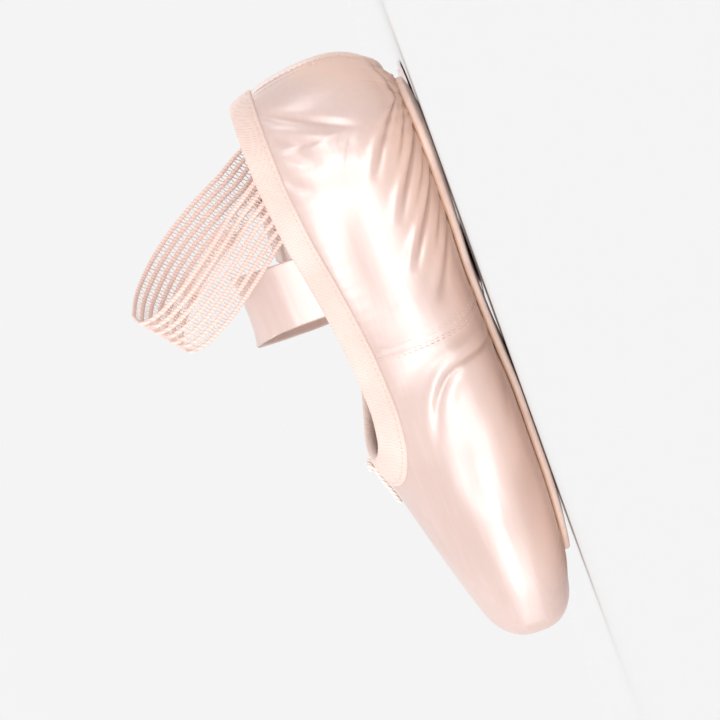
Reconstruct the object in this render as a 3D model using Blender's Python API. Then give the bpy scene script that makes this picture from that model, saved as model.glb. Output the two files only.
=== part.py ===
"""Pointe shoe, empty and standing on its sole, with its ribbons laid out on the floor.

Metres. The toe points along +X, up is +Z and the shoe's left side is +Y.
The sizes below are in millimetres. A station is counted from the back of the heel,
and the tables hold shares of the sizes that they name.
"""

import math

import bmesh
import bpy
import numpy as np
from mathutils import Matrix, Vector

MM = 0.001

# Driving sizes
LENGTH = 229.0
BALL_WIDTH = 77.6
HEEL_HEIGHT = 60.6
HEEL_ROUND = 38.0
TOE_ROUND = 9.0
TOE_DROP = 6.0
GAP = 0.3
QUARTER_WALL = 1.8
BOX_WALL = 3.0
TIP_WALL = 4.6
BINDING_WIDTH = 8.0
BINDING_THICK = 0.75
SOLE_WIDTH = 49.2
SOLE_THICK = 2.4
INSOLE_THICK = 1.6
INSOLE_WIDER = 1.0
TURNED_IN = 5.0
RIBBON_WIDTH = 25.0
RIBBON_THICK = 0.5
ELASTIC_WIDTH = 22.0
ELASTIC_THICK = 1.0
STRAP_EASE = 1.4
ELASTIC_LEAN = 55.0
ELASTIC_RISE = 112.0
STRING_RADIUS = 0.8
KNOT_RADIUS = 2.4
KNOT_FLAT = 0.7
KNOT_SHORT = 0.9
KNOT_BROAD = 1.15

# How far the cutting blocks reach past the shoe, and up from the floor through its sole
CUT_PAST = 20.0
CUT_OUT = 60.0
CUT_TOP = 120.0
SOLE_CUT = 20.0
OPENING_CUT = 14.0

# How finely the forms are cut
AROUND = 40
ALONG = 17
EDGE_COUNT = 34
ELASTIC_COUNT = 20
RIBBON_STEP = 8.0

# Sections of the last. Shares: station of LENGTH, half width of BALL_WIDTH, then the height of
# the widest line, the top and the lift off the sole, all of HEEL_HEIGHT. The last two columns
# say how square the upper and the lower half are.
LAST = (
    (0.000, 0.340, 0.495, 1.370, 0.000, 2.00, 2.4),
    (0.166, 0.357, 0.450, 1.370, 0.000, 2.00, 2.7),
    (0.262, 0.371, 0.405, 1.340, 0.010, 2.00, 2.8),
    (0.393, 0.392, 0.371, 1.230, 0.031, 2.00, 2.9),
    (0.502, 0.430, 0.347, 1.105, 0.020, 2.05, 3.0),
    (0.590, 0.474, 0.330, 1.010, 0.002, 2.10, 3.3),
    (0.655, 0.495, 0.330, 0.954, 0.000, 2.20, 3.5),
    (0.721, 0.500, 0.330, 0.898, 0.000, 2.25, 3.6),
    (0.786, 0.490, 0.338, 0.845, 0.007, 2.30, 3.5),
    (0.873, 0.454, 0.355, 0.769, 0.033, 2.40, 3.2),
    (0.939, 0.412, 0.371, 0.706, 0.066, 2.55, 3.0),
    (1.000, 0.366, 0.380, 0.640, 0.106, 2.70, 2.9),
)
HEEL_PLAN_POWER = 2.2
HEEL_TOP_POWER = 2.0
HEEL_BOTTOM_POWER = 2.3

# Wall of the upper: station as a share of LENGTH, thickness
WALL = (
    (0.00, QUARTER_WALL),
    (0.52, QUARTER_WALL),
    (0.87, BOX_WALL),
    (0.96, BOX_WALL),
    (1.00, TIP_WALL),
)

# Topline from the side. Shares: station of LENGTH, height of HEEL_HEIGHT
TOPLINE = (
    (-0.060, 1.000),
    (0.017, 1.000),
    (0.087, 0.997),
    (0.197, 0.970),
    (0.328, 0.901),
    (0.437, 0.858),
    (0.515, 0.848),
    (0.576, 0.868),
    (0.620, 0.911),
    (0.644, 0.957),
    (0.656, 1.023),
    (0.659, 1.155),
)

# Outline of the outsole. Shares: station of LENGTH, half width of SOLE_WIDTH
OUTSOLE = (
    (0.074, 0.000),
    (0.081, 0.134),
    (0.096, 0.215),
    (0.122, 0.276),
    (0.166, 0.313),
    (0.240, 0.313),
    (0.328, 0.285),
    (0.415, 0.272),
    (0.502, 0.309),
    (0.590, 0.402),
    (0.664, 0.476),
    (0.734, 0.500),
    (0.795, 0.476),
    (0.852, 0.394),
    (0.891, 0.289),
    (0.917, 0.159),
    (0.926, 0.000),
)

# Ribbons over the shoe. Shares: station of LENGTH, distance out of BALL_WIDTH, height of
# HEEL_HEIGHT. The right one folds over the right topline and the left one crosses to it.
RIGHT_RIBBON = (
    (0.282, -0.265, 0.700),
    (0.282, -0.252, 0.860),
    (0.282, -0.242, 0.970),
    (0.280, -0.254, 1.045),
    (0.279, -0.300, 1.080),
    (0.277, -0.346, 1.030),
    (0.275, -0.362, 0.930),
    (0.272, -0.386, 0.760),
    (0.268, -0.412, 0.560),
    (0.264, -0.428, 0.350),
    (0.260, -0.450, 0.180),
    (0.256, -0.510, 0.045),
)
LEFT_RIBBON = (
    (0.302, 0.266, 0.700),
    (0.302, 0.257, 0.860),
    (0.303, 0.249, 0.980),
    (0.306, 0.228, 1.130),
    (0.317, 0.160, 1.270),
    (0.342, 0.030, 1.330),
    (0.372, -0.110, 1.285),
    (0.396, -0.225, 1.150),
    (0.412, -0.308, 1.000),
    (0.424, -0.384, 0.850),
    (0.436, -0.444, 0.640),
    (0.448, -0.494, 0.400),
    (0.462, -0.545, 0.190),
    (0.484, -0.625, 0.045),
)
# The rest of each ribbon on the floor, in millimetres on from where it comes down
RIGHT_FLOOR = ((1, -12), (9, -54), (30, -108), (58, -160), (80, -214), (106, -268), (142, -330))
LEFT_FLOOR = ((7, -13), (30, -50), (58, -98), (82, -152), (110, -204), (146, -250), (186, -300))

# Elastic over the instep. It follows the inside of the quarters up to the last share of its
# slope in the first row, and then stands free: share of its slope, half width of BALL_WIDTH
ELASTIC_STATION = 0.118
ELASTIC_START = 0.730
ELASTIC_HELD = (0.00, 0.08, 0.16, 0.24, 0.32)
ELASTIC_ARCH = (
    (0.44, 0.256),
    (0.56, 0.286),
    (0.68, 0.298),
    (0.80, 0.276),
    (0.90, 0.216),
    (0.97, 0.122),
    (1.00, 0.000),
)

# Ends of the drawstring: distance ahead of the knot and out to the side, in millimetres
KNOT_STATION = 0.672
RIBBON_SETTLES = 0.5
STRING_END = ((0.0, 0.0), (3.5, 1.6), (7.5, 3.4), (11.5, 4.4), (15.0, 6.6))


def table(rows, column, at, loose=False):
    """One column of a table at the given stations, by cubics that never overshoot its rows,
    or by rounder ones for what lies loose."""
    x = np.array([row[0] for row in rows], float)
    y = np.array([row[column] for row in rows], float)
    step = np.diff(x)
    rise = np.diff(y) / step
    slope = np.zeros(len(x))
    slope[0], slope[-1] = rise[0], rise[-1]
    same = rise[:-1] * rise[1:] > 0
    total = rise[:-1] + rise[1:]
    slope[1:-1][same] = 2 * rise[:-1][same] * rise[1:][same] / total[same]
    if loose:
        slope[1:-1] = (rise[:-1] * step[1:] + rise[1:] * step[:-1]) / (step[1:] + step[:-1])
    at = np.clip(np.asarray(at, float), x[0], x[-1])
    k = np.clip(np.searchsorted(x, at) - 1, 0, len(x) - 2)
    t = (at - x[k]) / step[k]
    near = (1 + 2 * t) * (1 - t) ** 2 * y[k] + t * t * (3 - 2 * t) * y[k + 1]
    return near + step[k] * (t * (1 - t) ** 2 * slope[k] - t * t * (1 - t) * slope[k + 1])


def section(station):
    """Half width, widest height, top, bottom and both powers of the last at a station."""
    row = [float(table(LAST, column, station / LENGTH)) for column in range(1, 7)]
    half, (widest, top, lift), high, low = row[0] * BALL_WIDTH, row[1:4], row[4], row[5]
    widest, top, bottom = widest * HEEL_HEIGHT, top * HEEL_HEIGHT, SOLE_THICK + lift * HEEL_HEIGHT
    if station < HEEL_ROUND:
        away = (HEEL_ROUND - station) / HEEL_ROUND
        half *= (1 - away**HEEL_PLAN_POWER) ** (1 / HEEL_PLAN_POWER)
        top = widest + (top - widest) * (1 - away**HEEL_TOP_POWER) ** (1 / HEEL_TOP_POWER)
        bottom = widest - (widest - bottom) * (1 - away**HEEL_BOTTOM_POWER) ** (
            1 / HEEL_BOTTOM_POWER
        )
    if station > LENGTH - TOE_ROUND:
        away = min(1.0, (station - LENGTH + TOE_ROUND) / TOE_ROUND)
        drop = TOE_DROP * (1 - math.sqrt(1 - away * away))
        half, top, bottom = half - drop, top - drop, bottom + drop
    return half, widest, top, bottom, high, low


def ring(station, share=1.0):
    """Points of one section, or of the same section drawn in towards its middle."""
    half, widest, top, bottom, high, low = section(station)
    points = []
    for k in range(AROUND):
        angle = 2 * math.pi * k / AROUND
        c, s = math.cos(angle), math.sin(angle)
        power = high if s > 0 else low
        reach = share / (abs(c) ** power + abs(s) ** power) ** (1 / power)
        tall = top - widest if s > 0 else widest - bottom
        points.append((station, half * reach * c, widest + tall * reach * s))
    return points


def stations():
    heel = [HEEL_ROUND * (1 - math.cos(math.radians(a))) for a in range(12, 84, 12)]
    body = list(np.linspace(HEEL_ROUND, LENGTH - TOE_ROUND, ALONG))
    toe = [LENGTH - TOE_ROUND * (1 - math.sin(math.radians(a))) for a in (25, 48, 68, 90)]
    return heel + body + toe


def placed(points):
    """Stations in millimetres to metres, with the middle of the shoe's length at zero."""
    return [Vector(((x - LENGTH / 2) * MM, y * MM, z * MM)) for x, y, z in points]


def new_object(name, mesh, collection):
    obj = bpy.data.objects.new(name, mesh)
    collection.objects.link(obj)
    return obj


def last_form(name, collection, offset):
    """The closed last, moved out along its normals by offset(station), which may be negative."""
    rings = [ring(s) for s in stations()] + [ring(LENGTH, 0.55)]
    tip = section(LENGTH)
    back = section(0.001)
    bm = bmesh.new()
    loops = [[bm.verts.new(p) for p in placed(points)] for points in rings]
    for a, b in zip(loops, loops[1:]):
        for k in range(AROUND):
            n = (k + 1) % AROUND
            bm.faces.new((a[k], b[k], b[n], a[n]))
    heel = bm.verts.new(placed([(0.0, 0.0, back[1])])[0])
    toe = bm.verts.new(placed([(LENGTH, 0.0, (tip[2] + tip[3]) / 2)])[0])
    for k in range(AROUND):
        n = (k + 1) % AROUND
        bm.faces.new((heel, loops[0][k], loops[0][n]))
        bm.faces.new((toe, loops[-1][n], loops[-1][k]))
    bmesh.ops.recalc_face_normals(bm, faces=bm.faces[:])
    bm.normal_update()
    moved = [(v, v.co + v.normal * offset(v.co.x / MM + LENGTH / 2) * MM) for v in bm.verts]
    for vert, place in moved:
        vert.co = place
    mesh = bpy.data.meshes.new(name)
    bm.to_mesh(mesh)
    bm.free()
    return new_object(name, mesh, collection)


def outside(extra):
    return lambda station: extra


def inside(extra):
    return lambda station: -float(table(WALL, 1, station / LENGTH)) - extra


def prism(name, collection, outline, axis, low, high):
    """A closed outline, given as pairs, extruded along Y or along Z."""
    bm = bmesh.new()
    ends = []
    for level in (low, high):
        if axis == "Y":
            points = [(a, level, b) for a, b in outline]
        else:
            points = [(a, b, level) for a, b in outline]
        ends.append([bm.verts.new(p) for p in placed(points)])
    count = len(outline)
    bm.faces.new(ends[0])
    bm.faces.new(ends[1][::-1])
    for k in range(count):
        n = (k + 1) % count
        bm.faces.new((ends[0][k], ends[1][k], ends[1][n], ends[0][n]))
    bmesh.ops.recalc_face_normals(bm, faces=bm.faces[:])
    mesh = bpy.data.meshes.new(name)
    bm.to_mesh(mesh)
    bm.free()
    return new_object(name, mesh, collection)


def line_through(rows, sizes, count, loose=False):
    """Even points on a smooth line through rows of shares, each column times its size."""
    rows = np.array(rows, float) * sizes
    along = np.concatenate([[0], np.cumsum(np.linalg.norm(np.diff(rows, axis=0), axis=1))])
    at = np.linspace(0, along[-1], count)
    numbered = np.column_stack([along, rows])
    return np.column_stack([table(numbered, c + 1, at, loose) for c in range(rows.shape[1])])


def topline_points(shift):
    """The topline from the side, moved square to itself: up and back when shift is negative."""
    x, z = line_through(TOPLINE, (LENGTH, HEEL_HEIGHT), EDGE_COUNT).T
    dx, dz = np.gradient(x), np.gradient(z)
    size = np.hypot(dx, dz)
    return list(zip(x + shift * dz / size, z - shift * dx / size))


def above_topline(name, collection, shift):
    line = topline_points(shift)
    back = line[0][0] - CUT_PAST
    closing = [(line[-1][0], CUT_TOP), (back, CUT_TOP), (back, line[0][1])]
    return prism(name, collection, line + closing, "Y", -CUT_OUT, CUT_OUT)


def below_topline(name, collection, shift):
    line = topline_points(shift)
    back, front = line[0][0] - CUT_PAST, LENGTH + CUT_PAST
    closing = [
        (line[-1][0], CUT_TOP),
        (front, CUT_TOP),
        (front, -CUT_PAST),
        (back, -CUT_PAST),
        (back, line[0][1]),
    ]
    return prism(name, collection, line + closing, "Y", -CUT_OUT, CUT_OUT)


def sole_outline(inset):
    """The outsole's outline, drawn in by a distance that is the same all round."""
    x, y = line_through(OUTSOLE, (LENGTH, SOLE_WIDTH), EDGE_COUNT).T
    dx, dy = np.gradient(x), np.gradient(y)
    dx[0], dx[-1] = 0, 0
    size = np.hypot(dx, dy)
    x, y = x + inset * dy / size, np.maximum(y - inset * dx / size, 0)
    left = [(a, b) for a, b in zip(x, y)]
    right = [(a, -b) for a, b in zip(x[1:-1], y[1:-1])][::-1]
    return left + right


def cut(obj, other, operation):
    modifier = obj.modifiers.new(operation.title() + " " + other.name, "BOOLEAN")
    modifier.operation = operation
    modifier.solver = "EXACT"
    modifier.object = other


def upper_body(name, collection, cutters, extra, raised):
    """The hollow upper, or the same one grown all over by extra to cut a gap with."""
    body = last_form(name, collection, outside(extra))
    cut(body, last_form(name + " hollow", cutters, inside(extra)), "DIFFERENCE")
    cut(body, above_topline(name + " opening", cutters, -raised), "DIFFERENCE")
    return body


def band_solid(name, collection, middle, across, width, thick):
    """A flat band along a line of points: across gives its width direction at each point."""
    bm = bmesh.new()
    loops = []
    for k, point in enumerate(middle):
        ahead = middle[min(k + 1, len(middle) - 1)] - middle[max(k - 1, 0)]
        side = across[k] - ahead * (across[k].dot(ahead) / ahead.length_squared)
        side.normalize()
        up = ahead.cross(side).normalized() * thick / 2
        side *= width / 2
        corners = (side + up, side - up, -side - up, -side + up)
        loops.append([bm.verts.new((point + c) * MM) for c in corners])
    for a, b in zip(loops, loops[1:]):
        for k in range(4):
            n = (k + 1) % 4
            bm.faces.new((a[k], a[n], b[n], b[k]))
    bm.faces.new(loops[0][::-1])
    bm.faces.new(loops[-1])
    bmesh.ops.recalc_face_normals(bm, faces=bm.faces[:])
    mesh = bpy.data.meshes.new(name)
    bm.to_mesh(mesh)
    bm.free()
    return new_object(name, mesh, collection)


def wall_y(station, height):
    """How far out the last's surface is at a station and height."""
    half, widest, top, bottom, high, low = section(station)
    tall, power = (top - widest, high) if height > widest else (widest - bottom, low)
    rise = min(1.0, abs(height - widest) / tall)
    return half * (1 - rise**power) ** (1 / power)


def wall_top(station, out):
    """How high the last's surface is at a station and a distance out."""
    half, widest, top, bottom, high, low = section(station)
    return widest + (top - widest) * (1 - (abs(out) / half) ** high) ** (1 / high)


def material(obj, name, colour, rough, sheen=0.0):
    made = bpy.data.materials.new(name)
    made.use_nodes = True
    shader = made.node_tree.nodes["Principled BSDF"]
    shader.inputs["Base Color"].default_value = (*colour, 1)
    shader.inputs["Roughness"].default_value = rough
    shader.inputs["Sheen Weight"].default_value = sheen
    made.diffuse_color = (*colour, 1)
    obj.data.materials.append(made)


def smooth(obj):
    for face in obj.data.polygons:
        face.use_smooth = True


def make_collections():
    for obj in list(bpy.data.objects):
        bpy.data.objects.remove(obj)
    parts = bpy.data.collections.new("Pointe shoe")
    cutters = bpy.data.collections.new("Cutters")
    for collection in (parts, cutters):
        bpy.context.scene.collection.children.link(collection)
    cutters.hide_render = True
    return parts, cutters


def make_upper(parts, cutters):
    upper = upper_body("upper", parts, cutters, 0.0, 0.0)
    hole = prism("sole opening", cutters, sole_outline(TURNED_IN), "Z", -CUT_PAST, OPENING_CUT)
    cut(upper, hole, "DIFFERENCE")
    smooth(upper)
    material(upper, "satin", (0.90, 0.72, 0.65), 0.35, 0.2)


def make_soles(parts, cutters):
    outsole = last_form("outsole", parts, outside(GAP + SOLE_THICK))
    outline = prism("outsole outline", cutters, sole_outline(0.0), "Z", 0.0, SOLE_CUT)
    cut(outsole, outline, "INTERSECT")
    cut(outsole, last_form("outsole seat", cutters, outside(GAP)), "DIFFERENCE")
    material(outsole, "leather", (0.82, 0.66, 0.58), 0.7)
    insole = last_form("insole", parts, inside(GAP))
    outline = prism("insole outline", cutters, sole_outline(-INSOLE_WIDER), "Z", 0.0, SOLE_CUT)
    cut(insole, outline, "INTERSECT")
    cut(insole, last_form("insole top", cutters, inside(GAP + INSOLE_THICK)), "DIFFERENCE")
    filler = last_form("filler", cutters, outside(0.0))
    plug = prism("filler outline", cutters, sole_outline(TURNED_IN + GAP), "Z", 0.0, SOLE_CUT)
    cut(filler, plug, "INTERSECT")
    cut(filler, last_form("filler top", cutters, inside(GAP + INSOLE_THICK / 2)), "DIFFERENCE")
    cut(insole, filler, "UNION")
    material(insole, "lining", (0.80, 0.76, 0.70), 0.85)


def make_binding(parts, cutters):
    reach = GAP + BINDING_THICK
    binding = last_form("binding", parts, outside(reach))
    cut(binding, last_form("binding hollow", cutters, inside(reach)), "DIFFERENCE")
    cut(binding, above_topline("binding opening", cutters, -reach), "DIFFERENCE")
    cut(binding, below_topline("binding lower edge", cutters, BINDING_WIDTH), "DIFFERENCE")
    cut(binding, upper_body("binding seat", cutters, cutters, GAP, GAP), "DIFFERENCE")
    smooth(binding)
    material(binding, "cotton", (0.94, 0.77, 0.68), 0.8)


def quarter_y(station, height):
    """How far out a strap's middle lies against the inside of a quarter and its binding."""
    height = min(height, HEEL_HEIGHT)
    out = wall_y(station, height)
    # The layers are measured square to the wall, which slants here both ways.
    along = wall_y(station + 1, height) - out
    up = wall_y(station, height + 1) - out
    layers = QUARTER_WALL + GAP + BINDING_THICK + STRAP_EASE + ELASTIC_THICK / 2
    return out - layers * math.sqrt(1 + along**2 + up**2)


def make_elastic(parts):
    """One strap sewn inside both quarters, leaning forward as it does over an instep."""
    lean = math.radians(ELASTIC_LEAN)
    start = ELASTIC_START * HEEL_HEIGHT
    slope = (ELASTIC_RISE - start) / math.sin(lean)
    reach = Vector((math.sin(lean), 0, -math.cos(lean))) * ELASTIC_WIDTH / 2
    rows = []
    for share in ELASTIC_HELD:
        x = ELASTIC_STATION * LENGTH + share * slope * math.cos(lean)
        z = start + share * slope * math.sin(lean)
        rear = quarter_y(x - reach.x, z - reach.z)
        front = quarter_y(x + reach.x, z + reach.z)
        rows.append((share, (rear + front) / 2, front - rear))
    for share, out in ELASTIC_ARCH:
        rows.append((share, out * BALL_WIDTH, 0.0))
    half = line_through(
        [(share * slope, y, turn) for share, y, turn in rows], (1, 1, 1), ELASTIC_COUNT
    )
    left = [(d, y, turn) for d, y, turn in half]
    right = [(d, -y, -turn) for d, y, turn in half[:-1][::-1]]
    middle, across = [], []
    for d, y, turn in left + right:
        x = ELASTIC_STATION * LENGTH - LENGTH / 2 + d * math.cos(lean)
        middle.append(Vector((x, y, start + d * math.sin(lean))))
        across.append(Vector((2 * reach.x, turn, 2 * reach.z)))
    elastic = band_solid("elastic", parts, middle, across, ELASTIC_WIDTH, ELASTIC_THICK)
    smooth(elastic)
    material(elastic, "mesh_elastic", (0.88, 0.66, 0.62), 0.8)


def make_ribbon(name, parts, over_shoe, on_floor):
    """A satin ribbon from inside a quarter, over the right topline and out over the floor."""
    over = np.array(over_shoe) * (LENGTH, BALL_WIDTH, HEEL_HEIGHT)
    down = over[-1]
    floor = [(down[0] + x, down[1] + y, RIBBON_THICK / 2 + GAP / 2) for x, y in on_floor]
    route = np.vstack([over, floor])
    length = np.linalg.norm(np.diff(route, axis=0), axis=1).sum()
    points = line_through(route, (1, 1, 1), round(length / RIBBON_STEP), loose=True)
    points[:, 2] = np.maximum(points[:, 2], floor[0][2])
    middle = [Vector((x - LENGTH / 2, y, z)) for x, y, z in points]
    across = []
    for k, point in enumerate(middle):
        # Flat on the floor at the end, and level with the topline on the shoe.
        ahead = middle[min(k + 1, len(middle) - 1)] - middle[max(k - 1, 0)]
        flat = Vector((-ahead.y, ahead.x, 0)).normalized()
        level = min(1.0, (point.z - RIBBON_THICK) / (RIBBON_SETTLES * HEEL_HEIGHT))
        across.append(flat.lerp(Vector((1, 0, 0)), max(0.0, level)))
    ribbon = band_solid(name, parts, middle, across, RIBBON_WIDTH, RIBBON_THICK)
    smooth(ribbon)
    material(ribbon, name + "_satin", (0.93, 0.76, 0.70), 0.3, 0.2)


def tube(name, collection, points, radius):
    """A round cord through points, as a closed mesh."""
    curve = bpy.data.curves.new(name, "CURVE")
    curve.dimensions = "3D"
    curve.bevel_depth = radius * MM
    curve.bevel_resolution = 2
    curve.use_fill_caps = True
    spline = curve.splines.new("POLY")
    spline.points.add(len(points) - 1)
    for point, place in zip(spline.points, placed(points)):
        point.co = (*place, 1)
    holder = new_object(name + " curve", curve, collection)
    bpy.context.view_layer.update()
    graph = bpy.context.evaluated_depsgraph_get()
    mesh = bpy.data.meshes.new_from_object(holder.evaluated_get(graph))
    bpy.data.objects.remove(holder)
    bm = bmesh.new()
    bm.from_mesh(mesh)
    bmesh.ops.remove_doubles(bm, verts=bm.verts[:], dist=0.00001)
    bmesh.ops.recalc_face_normals(bm, faces=bm.faces[:])
    bm.to_mesh(mesh)
    bm.free()
    return new_object(name, mesh, collection)


def make_drawstring(parts, cutters):
    """The knot over the throat of the binding, and its two short ends on the vamp."""
    at = KNOT_STATION * LENGTH
    over = 2 * GAP + BINDING_THICK
    knot_z = wall_top(at, 0) + over + KNOT_RADIUS * KNOT_FLAT
    bm = bmesh.new()
    bmesh.ops.create_uvsphere(bm, u_segments=14, v_segments=10, radius=KNOT_RADIUS * MM)
    mesh = bpy.data.meshes.new("drawstring")
    bm.to_mesh(mesh)
    bm.free()
    knot = new_object("drawstring", mesh, parts)
    flat = Matrix.Diagonal((KNOT_SHORT, KNOT_BROAD, KNOT_FLAT, 1))
    mesh.transform(Matrix.Translation(placed([(at, 0, knot_z)])[0]) @ flat)
    for side in (1, -1):
        points = []
        for ahead, out in STRING_END:
            clear = wall_top(at + ahead, out) + over + STRING_RADIUS
            points.append((at + ahead, side * out, clear))
        end = tube("string end " + ("left" if side > 0 else "right"), cutters, points, STRING_RADIUS)
        cut(knot, end, "UNION")
    smooth(knot)
    material(knot, "cotton_cord", (0.95, 0.88, 0.82), 0.85)


PARTS, CUTTERS = make_collections()
make_upper(PARTS, CUTTERS)
make_soles(PARTS, CUTTERS)
make_binding(PARTS, CUTTERS)
make_elastic(PARTS)
make_ribbon("ribbon_right", PARTS, RIGHT_RIBBON, RIGHT_FLOOR)
make_ribbon("ribbon_left", PARTS, LEFT_RIBBON, LEFT_FLOOR)
make_drawstring(PARTS, CUTTERS)
for helper in CUTTERS.objects:
    helper.hide_render = True
    helper.display_type = "WIRE"
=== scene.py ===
import math

import bpy
import numpy as np
from mathutils import Matrix, Vector


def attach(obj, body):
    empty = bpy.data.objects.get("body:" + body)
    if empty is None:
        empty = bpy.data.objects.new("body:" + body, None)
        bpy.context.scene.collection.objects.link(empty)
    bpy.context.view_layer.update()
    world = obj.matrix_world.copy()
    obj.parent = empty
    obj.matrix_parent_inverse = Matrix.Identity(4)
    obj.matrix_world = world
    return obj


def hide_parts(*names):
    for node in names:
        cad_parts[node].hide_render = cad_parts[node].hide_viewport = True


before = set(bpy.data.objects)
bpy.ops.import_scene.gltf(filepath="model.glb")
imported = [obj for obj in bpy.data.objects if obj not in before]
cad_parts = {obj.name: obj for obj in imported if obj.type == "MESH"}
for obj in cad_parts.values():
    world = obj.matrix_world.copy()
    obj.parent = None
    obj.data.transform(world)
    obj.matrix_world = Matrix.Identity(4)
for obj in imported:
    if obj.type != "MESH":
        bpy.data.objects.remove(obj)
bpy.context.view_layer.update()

MM = 0.001

# Sizes of the model, in millimetres, as the CAD has them
LENGTH, BALL_WIDTH, HEEL_HEIGHT = 229.0, 77.6, 60.6
HEEL_ROUND, TOE_ROUND, TOE_DROP = 38.0, 9.0, 6.0
QUARTER_WALL, BOX_WALL, TIP_WALL, GAP = 1.8, 3.0, 4.6, 0.3
SOLE_WIDTH, SOLE_THICK, TURNED_IN = 49.2, 2.4, 5.0
RIBBON_WIDTH, RIBBON_THICK, BINDING_THICK = 25.0, 0.5, 0.75
ELASTIC_WIDTH, ELASTIC_THICK, STRAP_EASE = 22.0, 1.0, 1.4
ELASTIC_LEAN, ELASTIC_RISE = 55.0, 112.0

# Sections of the last: station, half width, widest line, top, lift and two powers, in shares
LAST = (
    (0.000, 0.340, 0.495, 1.370, 0.000, 2.00, 2.4),
    (0.166, 0.357, 0.450, 1.370, 0.000, 2.00, 2.7),
    (0.262, 0.371, 0.405, 1.340, 0.010, 2.00, 2.8),
    (0.393, 0.392, 0.371, 1.230, 0.031, 2.00, 2.9),
    (0.502, 0.430, 0.347, 1.105, 0.020, 2.05, 3.0),
    (0.590, 0.474, 0.330, 1.010, 0.002, 2.10, 3.3),
    (0.655, 0.495, 0.330, 0.954, 0.000, 2.20, 3.5),
    (0.721, 0.500, 0.330, 0.898, 0.000, 2.25, 3.6),
    (0.786, 0.490, 0.338, 0.845, 0.007, 2.30, 3.5),
    (0.873, 0.454, 0.355, 0.769, 0.033, 2.40, 3.2),
    (0.939, 0.412, 0.371, 0.706, 0.066, 2.55, 3.0),
    (1.000, 0.366, 0.380, 0.640, 0.106, 2.70, 2.9),
)
HEEL_PLAN_POWER, HEEL_TOP_POWER, HEEL_BOTTOM_POWER = 2.2, 2.0, 2.3
TOPLINE = (
    (-0.060, 1.000), (0.017, 1.000), (0.087, 0.997), (0.197, 0.970),
    (0.328, 0.901), (0.437, 0.858), (0.515, 0.848), (0.576, 0.868),
    (0.620, 0.911), (0.644, 0.957), (0.656, 1.023), (0.659, 1.155),
)
OUTSOLE = (
    (0.074, 0.000), (0.081, 0.134), (0.096, 0.215), (0.122, 0.276),
    (0.166, 0.313), (0.240, 0.313), (0.328, 0.285), (0.415, 0.272),
    (0.502, 0.309), (0.590, 0.402), (0.664, 0.476), (0.734, 0.500),
    (0.795, 0.476), (0.852, 0.394), (0.891, 0.289), (0.917, 0.159),
    (0.926, 0.000),
)
RIGHT_RIBBON = (
    (0.282, -0.265, 0.700), (0.282, -0.252, 0.860), (0.282, -0.242, 0.970),
    (0.280, -0.254, 1.045), (0.279, -0.300, 1.080), (0.277, -0.346, 1.030),
    (0.275, -0.362, 0.930), (0.272, -0.386, 0.760), (0.268, -0.412, 0.560),
    (0.264, -0.428, 0.350), (0.260, -0.450, 0.180), (0.256, -0.510, 0.045),
)
LEFT_RIBBON = (
    (0.302, 0.266, 0.700), (0.302, 0.257, 0.860), (0.303, 0.249, 0.980),
    (0.306, 0.228, 1.130), (0.317, 0.160, 1.270), (0.342, 0.030, 1.330),
    (0.372, -0.110, 1.285), (0.396, -0.225, 1.150), (0.412, -0.308, 1.000),
    (0.424, -0.384, 0.850), (0.436, -0.444, 0.640), (0.448, -0.494, 0.400),
    (0.462, -0.545, 0.190), (0.484, -0.625, 0.045),
)
RIGHT_FLOOR = ((1, -12), (9, -54), (30, -108), (58, -160), (80, -214), (106, -268), (142, -330))
LEFT_FLOOR = ((7, -13), (30, -50), (58, -98), (82, -152), (110, -204), (146, -250), (186, -300))
RIBBON_SETTLES = 0.5
ELASTIC_STATION, ELASTIC_START = 0.118, 0.730
KNOT_STATION, KNOT_RADIUS, KNOT_FLAT = 0.672, 2.4, 0.7
STRING_RADIUS = 0.8
STRING_END = ((0.0, 0.0), (3.5, 1.6), (7.5, 3.4), (11.5, 4.4), (15.0, 6.6))
STRING_SETTLES = (0.0, 0.0, 0.35, 0.90, 1.15)

# Fineness and sizes, in millimetres, of what the scene adds
SKIN_STEP, SKIN_COLUMNS, LINING_STEP, LINING_COLUMNS = 0.8, 125, 2.2, 46
BINDING_COUNT, TOE_RINGS, RIBBON_ROWS, RIBBON_COLUMNS = 420, 18, 320, 27
SELVEDGE_HIGH, RIPPLES, RIPPLE_HIGH, SEWN_DOWN = 0.12, 5, 0.055, (14, 40)
STITCH_LINE, STITCH_LIFT = 6.9, 0.72
RIB_COUNT, RIB_WIDE, RIB_TALL, NET_PITCH = 7, 0.85, 0.48, 1.25
SLIT_ROW, SLIT_STEP, SLIT_DEEP = 2.3, 3.6, 0.35
# Height and width of the seams' bands and grooves
SIDE_BAND, SIDE_GROOVE = (0.22, 3.0), (0.42, 0.42)
BACK_BAND, BACK_GROOVE, BACK_STITCHES = (0.18, 2.2), (0.40, 0.45), 1.5
PLEATS, PLEAT_PITCH, PLEAT_REACH, FINE_PITCH = 260, (3.0, 5.4), (6.0, 13.0), (1.7, 2.9)
TOE_PLEATS, HEEL_PLEATS, WAIST_PLEATS, FINE_PLEATS, DRAWN_IN = 1.25, 0.75, 0.10, 0.30, 0.08
# Degrees, then metres, then the lens in millimetres
CAMERA_TURNED, CAMERA_ROLLED, CAMERA_AWAY, CAMERA_HIGH, CAMERA_LENS = 28, 110, 1.25, 0.012, 178
# Key light: name, turn and strength of its columns; name, rise, strength, spread of its rows
KEY_COLUMNS = (("a", 48, 0.42), ("b", 26, 0.42), ("c", 4, 0.38), ("d", -18, 0.34))
KEY_ROWS = (("key_", 0.08, 0.98, 15), ("upper_key_", 0.27, 0.30, 16))


# Curves and the form of the last


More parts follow.
